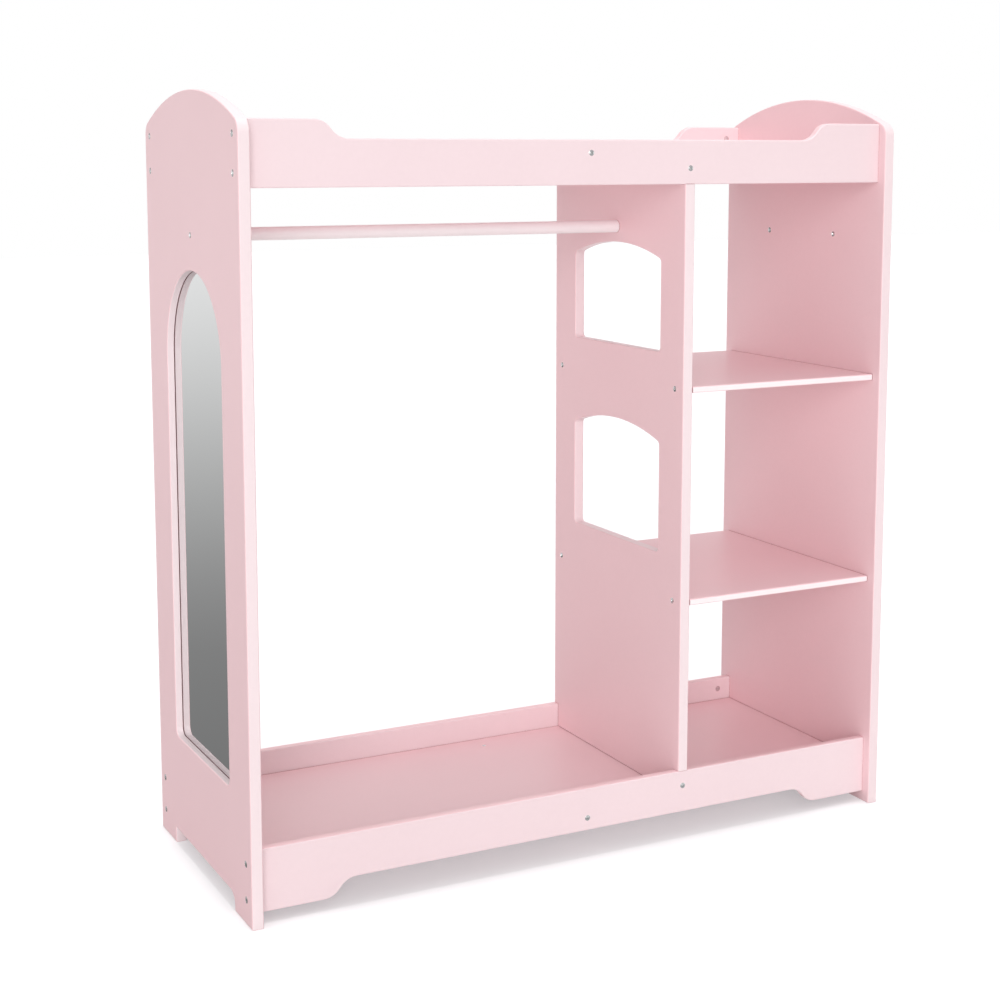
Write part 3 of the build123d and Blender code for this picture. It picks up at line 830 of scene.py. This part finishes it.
for name, node in (("low_shelf", "lower_shelf"), ("high_shelf", "upper_shelf")):
    low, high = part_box(node)
    low.x += HAIRLINE
    high.x -= HAIRLINE
    shelf = plain_board(name, low, high)
    round_over(shelf, EASED, EASED_STEPS, lambda co: low.x + SAWN_GAP < co.x < high.x - SAWN_GAP)
    round_over(shelf, SAWN_EASE, EASE_STEPS, lambda co: min(co.x - low.x, high.x - co.x) < SAWN_GAP)
    drill(shelf, (panel_screw_bit, turned_about(shelf_screws_left + shelf_screws_right)))
    sand(shelf)
    finish(shelf, painted_shelf, "painted_board", node)


# Hanging rod
# An 18 mm dowel rod, painted like the boards, held by one screw at each end.

ROD_SIDES = 72
rod_low, rod_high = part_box("hanging_rod")
rod_radius = (rod_high.z - rod_low.z) / 2
rod_middle = (rod_low + rod_high) / 2
bpy.ops.object.select_all(action="DESELECT")
bpy.ops.mesh.primitive_cylinder_add(vertices=ROD_SIDES, radius=rod_radius, depth=rod_high.x - rod_low.x)
rod = bpy.context.object
rod.name = "clothes_rod"
rod.location = rod_middle
rod.rotation_euler = (0, QUARTER, 0)
bpy.ops.object.transform_apply(location=True, rotation=True, scale=True)
round_over(rod, SAWN_EASE, EASE_STEPS, lambda co: True)
drill(rod, (panel_screw_bit, [rod_screw_left, rod_screw_right]))
sand(rod)
# The rod is painted nearly white-pink round its length, as painted highlight from the front lamp; its
# ends keep the paint's own pink.
PINK_ROD_LIT, SMOOTH_SATIN = (0.955, 0.895, 0.905), 0.40
painted_rod = pink_paint(
    "painted_rod", "X", PINK, PINK_ROD_LIT, SMOOTH_SATIN, Peel_per_metre=300, Nibs_per_metre=25
)
finish(rod, painted_rod, "painted_board", "hanging_rod")


# Mirror
# A 3 mm silvered pane with a half-round head lies in the rebate behind the window. A white
# hardboard backs it, and six flat steel clips screwed to the panel hold both.

GLASS_PLAY, LEDGE_GAP = 0.0005, 0.0004
glass_low, glass_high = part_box("mirror_glass")
backing_low, backing_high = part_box("mirror_backing")
pane_outline = mirror_outline(REBATE_MARGIN - GLASS_PLAY)
ARRIS = 0.0003
pane_x = glass_low.x + LEDGE_GAP
pane = saw_board("mirror_pane", AROUND_X, pane_x, glass_high.x - pane_x, *pane_outline)
round_over(pane, ARRIS, 1, lambda co: min(abs(co.x - pane_x), abs(co.x - glass_high.x)) < SAWN_GAP)
sand(pane)
back = saw_board("mirror_back", AROUND_X, backing_low.x, backing_high.x - backing_low.x, *pane_outline)
sand(back)

SILVER, SILVER_ROUGHNESS = (0.80, 0.81, 0.81), (0.005, 0.03)
silver, nodes, link, shader = new_material("silvered_glass")
shader.inputs["Metallic"].default_value = 1
shader.inputs["Base Color"].default_value = (*SILVER, 1)
smears = effect(nodes, film, Peel_per_metre=6, Peel_height=0.0, Nibs_per_metre=4)
link(rescaled(nodes, link, smears.outputs["Tone"], *SILVER_ROUGHNESS), shader.inputs["Roughness"])

HARDBOARD_DARK, HARDBOARD_PALE = (0.70, 0.67, 0.62), (0.78, 0.76, 0.72)
HARDBOARD_ROUGHNESS = (0.7, 0.85)
hardboard, nodes, link, shader = new_material("white_hardboard")
fibres = effect(nodes, film, Peel_per_metre=900, Peel_height=0.00006, Nibs_per_metre=160)
colour = blend_of(nodes, link, fibres.outputs["Tone"], HARDBOARD_DARK, HARDBOARD_PALE)
link(colour, shader.inputs["Base Color"])
link(fibres.outputs["Normal"], shader.inputs["Normal"])
link(rescaled(nodes, link, fibres.outputs["Gloss"], *HARDBOARD_ROUGHNESS), shader.inputs["Roughness"])

finish(pane, silver, "mirror", "mirror_glass")
finish(back, hardboard, "backing_board", "mirror_backing")

# The clips are punched from 1.2 mm strip, plated like the screws.
CLIP_LENGTH, CLIP_WIDTH = 0.026, 0.014
CLIP_CORNER, CLIP_CORNER_STEPS, CLIP_EASE = 0.003, 6, 0.00012
clip_half = Vector((CLIP_LENGTH, CLIP_WIDTH, 0)) / 2
clip = plain_board("clip", -clip_half - Vector((0, 0, CLIP_THICKNESS)), clip_half)
round_over(clip, CLIP_CORNER, CLIP_CORNER_STEPS, lambda co: -CLIP_THICKNESS + SAWN_GAP < co.z < -SAWN_GAP)
round_over(clip, CLIP_EASE, EASE_STEPS, lambda co: True)
drill(clip, (clip_screw_bit, [((0, 0, 0), (0, 0, 1), 0)]))
clips = join(set_in(clip, [(spot, outward, 0) for spot, outward in clip_screws]), "mirror_clip_plates")
bpy.data.objects.remove(clip)
sand(clips)

ZINC_DARK, ZINC_PALE, ZINC_RUBBED = (0.68, 0.69, 0.70), (0.78, 0.79, 0.79), (0.88, 0.88, 0.87)
ZINC_ROUGHNESS = (0.13, 0.26)
plated, nodes, link, shader = new_material("zinc_plated_steel")
shader.inputs["Metallic"].default_value = 1
plating = effect(nodes, film, Peel_per_metre=900, Peel_height=0.000008, Nibs_per_metre=400)
worn_plate = effect(nodes, worn, Width=0.0004)
colour = blend_of(nodes, link, plating.outputs["Tone"], ZINC_DARK, ZINC_PALE)
colour = blend_of(nodes, link, worn_plate.outputs["Mask"], colour, ZINC_RUBBED)
link(colour, shader.inputs["Base Color"])
link(rescaled(nodes, link, plating.outputs["Gloss"], *ZINC_ROUGHNESS), shader.inputs["Roughness"])
link(plating.outputs["Normal"], shader.inputs["Normal"])
finish(clips, plated, "zinc_plated_steel", "mirror_clips")


# Coat pegs
# Two turned pegs outside the right end, each with a broad foot, a neck and a mushroom head.

PEG_REACH = 0.036
PEG_FOOT_RADIUS, PEG_FOOT_ROUND, PEG_FOOT_THICKNESS = 0.011, 0.0008, 0.003
NECK_RADIUS, NECK_START, NECK_END = 0.0065, 0.011, 0.018
PEG_HEAD_RADIUS, UNDER_RADIUS, DOME_RADIUS = 0.013, 0.008173, 0.01345
under_turn = math.acos((NECK_RADIUS + UNDER_RADIUS - PEG_HEAD_RADIUS) / UNDER_RADIUS)
dome_turn = math.asin(PEG_HEAD_RADIUS / DOME_RADIUS)
peg_strokes = [
    (PEG_FOOT_RADIUS - PEG_FOOT_ROUND, 0),
    (PEG_FOOT_RADIUS - PEG_FOOT_ROUND, PEG_FOOT_ROUND, QUARTER),
    (PEG_FOOT_RADIUS, PEG_FOOT_THICKNESS),
    (NECK_RADIUS, NECK_START),
    (NECK_RADIUS, NECK_END),
    (NECK_RADIUS + UNDER_RADIUS, NECK_END, -under_turn),
    (0, PEG_REACH - DOME_RADIUS, dome_turn),
]
peg = turn_solid("peg", (0, 0), peg_strokes)
pegs = join(set_in(peg, [((right_x, y, PEG_Z), (1, 0, 0), 0) for y in PEG_ROWS]), "turned_coat_pegs")
bpy.data.objects.remove(peg)
drill(pegs, (rail_screw_bit, turned_about(peg_screws)))
sand(pegs)
# The pegs take the rod's paint, painted pale on their sides as painted highlight.
finish(pegs, painted_rod, "painted_board", "coat_pegs")


# Bolts and barrel nuts
# Each end panel takes eight M5 bolts into the rails' ends. Each bolt crosses a round nut that
# is let into the rail's inner face and has a slot to turn it by.

HEAD_PROUD = 0.0008
SCREW_TIP = 0.004
RECESS_WIDTH, RECESS_HEIGHT, RECESS_SINK = 0.001, 0.0016, 0.0007
RECESS_SPAN, RECESS_NARROWS = 1.12, 0.6
FACING_DOWN = -0.9


def screw_outline(head, sunk, shank, length):
    """Start and strokes of a raised countersunk head on a pointed shank."""
    dome = (head**2 - HEAD_PROUD**2) / (2 * HEAD_PROUD)
    lean = math.asin(head / (dome + HEAD_PROUD))
    point = [(shank / 2, -length), (shank, SCREW_TIP - length)]
    return (0, -length), point + [(shank, -sunk), (head, 0), (0, -dome, lean)]


def cross_headed(name, sizes):
    """A screw or bolt with a raised head and a cross recess that narrows downwards."""
    screw = turn_solid(name, *screw_outline(*sizes))
    arm_size = (sizes[0] * RECESS_SPAN, RECESS_WIDTH, RECESS_HEIGHT)
    for turn in (0, QUARTER):
        bpy.ops.object.select_all(action="DESELECT")
        bpy.ops.mesh.primitive_cube_add(size=1, scale=arm_size, rotation=(0, 0, turn))
        arm = bpy.context.object
        bpy.ops.object.mode_set(mode="EDIT")
        bpy.ops.mesh.select_mode(type="FACE")
        bpy.ops.mesh.select_all(action="DESELECT")
        work = bmesh.from_edit_mesh(arm.data)
        for face in work.faces:
            if face.normal.z < FACING_DOWN:
                face.select_set(True)
        bpy.ops.transform.resize(value=(RECESS_NARROWS, RECESS_NARROWS, 1))
        bpy.ops.object.mode_set(mode="OBJECT")
        arm.location = (0, 0, HEAD_PROUD - RECESS_SINK)
        bpy.ops.object.transform_apply(location=True, rotation=True, scale=True)
        cut_away(screw, arm)
    return screw


bolt = cross_headed("bolt", BOLT)
BOLTED = (("bolts_left", bolts_left, "left_rail_bolts"), ("bolts_right", bolts_right, "right_rail_bolts"))
for name, places, node in BOLTED:
    bolts = join(set_in(bolt, turned_about(places)), name)
    sand(bolts)
    finish(bolts, plated, "zinc_plated_steel", node)
bpy.data.objects.remove(bolt)

NUT_EASE, SLOT_WIDTH, SLOT_DEPTH, CROSSING_SIDES = 0.0003, 0.0012, 0.001, 24
CROSSING_RADIUS = BOLT[2] + HOLE_GAP
bpy.ops.object.select_all(action="DESELECT")
bpy.ops.mesh.primitive_cylinder_add(vertices=TURNED_SIDES, radius=NUT_RADIUS, depth=NUT_LENGTH)
nut = bpy.context.object
nut.location = (0, 0, -NUT_SINK - NUT_LENGTH / 2)
bpy.ops.object.transform_apply(location=True)
round_over(nut, NUT_EASE, EASE_STEPS, lambda co: True)
bpy.ops.mesh.primitive_cube_add(size=1, scale=(2 * NUT_RADIUS + OVERCUT, SLOT_WIDTH, 2 * SLOT_DEPTH))
slot = bpy.context.object
slot.location = (0, 0, -NUT_SINK)
cut_away(nut, slot)
bpy.ops.mesh.primitive_cylinder_add(
    vertices=CROSSING_SIDES, radius=CROSSING_RADIUS, depth=2 * NUT_RADIUS + OVERCUT
)
crossing = bpy.context.object
crossing.location = (0, 0, -RAIL_THICKNESS / 2)
crossing.rotation_euler = (0, QUARTER, 0)
cut_away(nut, crossing)
NUTS = (("nuts_left", nuts_left, "left_barrel_nuts"), ("nuts_right", nuts_right, "right_barrel_nuts"))
for name, places, node in NUTS:
    nuts = join(set_in(nut, places), name)
    sand(nuts)
    finish(nuts, plated, "zinc_plated_steel", node)
bpy.data.objects.remove(nut)


# Screws
# Countersunk wood screws with raised heads hold the boards, the rod and the pegs. Smaller ones
# hold the batten and the mirror's clips.

FASTENED = (
    ("rail_screws_into_boards", RAIL_SCREW, rail_board_screws, "rail_board_screws"),
    ("rail_screws_into_divider", RAIL_SCREW, rail_divider_screws, "rail_divider_screws"),
    ("shelf_screws_at_divider", PANEL_SCREW, shelf_screws_left, "divider_shelf_screws"),
    ("shelf_screws_at_end", PANEL_SCREW, shelf_screws_right, "panel_shelf_screws"),
    ("rod_end_screws", PANEL_SCREW, [rod_screw_left[:2], rod_screw_right[:2]], "rod_screws"),
    ("peg_screws", RAIL_SCREW, peg_screws, "coat_peg_screws"),
    ("batten_fixing_screws", BATTEN_SCREW, batten_screws, "batten_screws"),
    ("clip_fixing_screws", CLIP_SCREW, clip_screws, "mirror_clip_screws"),
)
for name, sizes, places, node in FASTENED:
    model = cross_headed("screw", sizes)
    screws = join(set_in(model, turned_about(places)), name)
    bpy.data.objects.remove(model)
    sand(screws)
    finish(screws, plated, "zinc_plated_steel", node)


# Dowels
# Fluted beech dowels join the boards to the ends. They are hidden once the unit is together.

BEECH_DARK, BEECH_PALE, BEECH_ROUGHNESS = (0.50, 0.30, 0.15), (0.63, 0.42, 0.23), 0.7
beech, nodes, link, shader = new_material("raw_beech")
grain = effect(nodes, film, Peel_per_metre=700, Peel_height=0.00005, Nibs_per_metre=300)
colour = blend_of(nodes, link, grain.outputs["Tone"], BEECH_DARK, BEECH_PALE)
link(colour, shader.inputs["Base Color"])
link(grain.outputs["Normal"], shader.inputs["Normal"])
shader.inputs["Roughness"].default_value = BEECH_ROUGHNESS
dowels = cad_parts["board_dowels"]
dowels.data.materials.clear()
dowels.data.materials.append(beech)

screw_bits = [bolt_bit, panel_screw_bit, rail_screw_bit, clip_screw_bit, batten_screw_bit]
for bit in screw_bits + [dowel_bit, nut_bit]:
    bpy.data.objects.remove(bit)


# Floor, light and camera
# A white paper floor that keeps only the shadow under the unit. The room is brightest overhead,
# a broad lamp stands in front, a little to the left, and a small one hangs straight above.

FLOOR_SIZE = 30
PAPER_SEEN, PAPER_BOUNCE = (0.66, 0.66, 0.66), (0.82, 0.81, 0.81)
GLOW, GLOW_TINT = 0.37, (0.98, 0.97, 1.0)
bpy.ops.object.select_all(action="DESELECT")
bpy.ops.mesh.primitive_plane_add(size=FLOOR_SIZE)
floor = bpy.context.object
floor.name = "studio_floor"

paper, nodes, link, shader = new_material("white_paper_floor")
nodes.remove(shader)
matt = nodes.new("ShaderNodeBsdfDiffuse")
seen = nodes.new("ShaderNodeLightPath")
colour = blend_of(nodes, link, seen.outputs["Is Camera Ray"], PAPER_BOUNCE, PAPER_SEEN)
link(colour, matt.inputs["Color"])
glow = nodes.new("ShaderNodeEmission")
glow.inputs["Color"].default_value = (*GLOW_TINT, 1)
link(calculate(nodes, link, "MULTIPLY", seen.outputs["Is Camera Ray"], GLOW), glow.inputs["Strength"])
both = nodes.new("ShaderNodeAddShader")
link(matt.outputs["BSDF"], both.inputs[0])
link(glow.outputs["Emission"], both.inputs[1])
link(both.outputs["Shader"], nodes["Material Output"].inputs["Surface"])
floor.data.materials.append(paper)
floor.visible_glossy = False

WHITE = (1.0, 1.0, 1.0)
ROOM_LOW, ROOM_HIGH = (0.03, 0.03, 0.03), (1.02, 1.02, 1.02)
world = bpy.data.worlds.new("studio")
bpy.context.scene.world = world
world.use_nodes = True
nodes, link = world.node_tree.nodes, world.node_tree.links.new
background = nodes["Background"]
seen = nodes.new("ShaderNodeLightPath")
way = nodes.new("ShaderNodeSeparateXYZ")
link(nodes.new("ShaderNodeTexCoord").outputs["Generated"], way.inputs["Vector"])

# What the mirror and other gloss show: greys in a sweep from above down to below, which turn
# white on the side away from the mirror, fully behind the unit and in part before it.
sweep = nodes.new("ShaderNodeValToRGB")
sweep.color_ramp.interpolation = "B_SPLINE"
SWEEP_TOP, SWEEP_BOTTOM = 0.4, -0.4
SIDE_FADE, REAR_FADE, FRONT_SHARE = (-0.15, 0.05), (-0.3, 0.3), 0.4
SWEEP_STOPS = (
    (0.0, 0.2),
    (0.3, 0.3),
    (0.44, 1.0),
    (0.55, 0.98),
    (0.65, 0.72),
    (0.75, 0.40),
    (0.84, 0.23),
    (1.0, 0.19),
)
link(rescaled(nodes, link, way.outputs["Z"], 0, 1, SWEEP_TOP, SWEEP_BOTTOM), sweep.inputs["Fac"])
for position, level in SWEEP_STOPS[1:-1]:
    sweep.color_ramp.elements.new(position)
for stop, (position, level) in zip(sweep.color_ramp.elements, SWEEP_STOPS):
    stop.position = position
    stop.color = (level, level, level, 1)
away_from_mirror = rescaled(nodes, link, way.outputs["X"], 0, 1, *SIDE_FADE)
behind = rescaled(nodes, link, way.outputs["Y"], FRONT_SHARE, 1, *REAR_FADE)
white_side = calculate(nodes, link, "MULTIPLY", away_from_mirror, behind)
backdrop = blend_of(nodes, link, white_side, sweep.outputs["Color"], WHITE)

# The room's own light grows from the skyline up. The eye sees plain white.
room = blend_of(nodes, link, rescaled(nodes, link, way.outputs["Z"], 0, 1, 0, 1), ROOM_LOW, ROOM_HIGH)
glossy = blend_of(nodes, link, seen.outputs["Is Glossy Ray"], room, backdrop)
shown = blend_of(nodes, link, seen.outputs["Is Camera Ray"], glossy, WHITE)
link(shown, background.inputs["Color"])


def far_lamp(name, strength, spread, lean, heading):
    """A lamp so far off that it is even: lean is from straight down, and heading from the front."""
    bpy.ops.object.light_add(type="SUN", location=(0, 0, 3))
    lamp = bpy.context.object
    lamp.name = name
    lamp.data.energy = strength
    lamp.data.angle = math.radians(spread)
    lamp.rotation_euler = (math.radians(lean), 0, math.radians(heading))


far_lamp("broad_front_lamp", strength=1.55, spread=40, lean=78, heading=-25)
far_lamp("overhead_lamp", strength=1.15, spread=3, lean=0, heading=0)

CAMERA_PLACE, CAMERA_TURN = (-1.2095, -2.2523, 0.9799), (82.751, 0.024, -27.018)
bpy.ops.object.camera_add(location=CAMERA_PLACE)
camera = bpy.context.object
camera.rotation_euler = [math.radians(angle) for angle in CAMERA_TURN]
camera.data.sensor_width = 36
camera.data.lens = 63.545
camera.data.shift_y = -0.1195
bpy.context.scene.camera = camera
bpy.context.scene.view_settings.view_transform = "Standard"
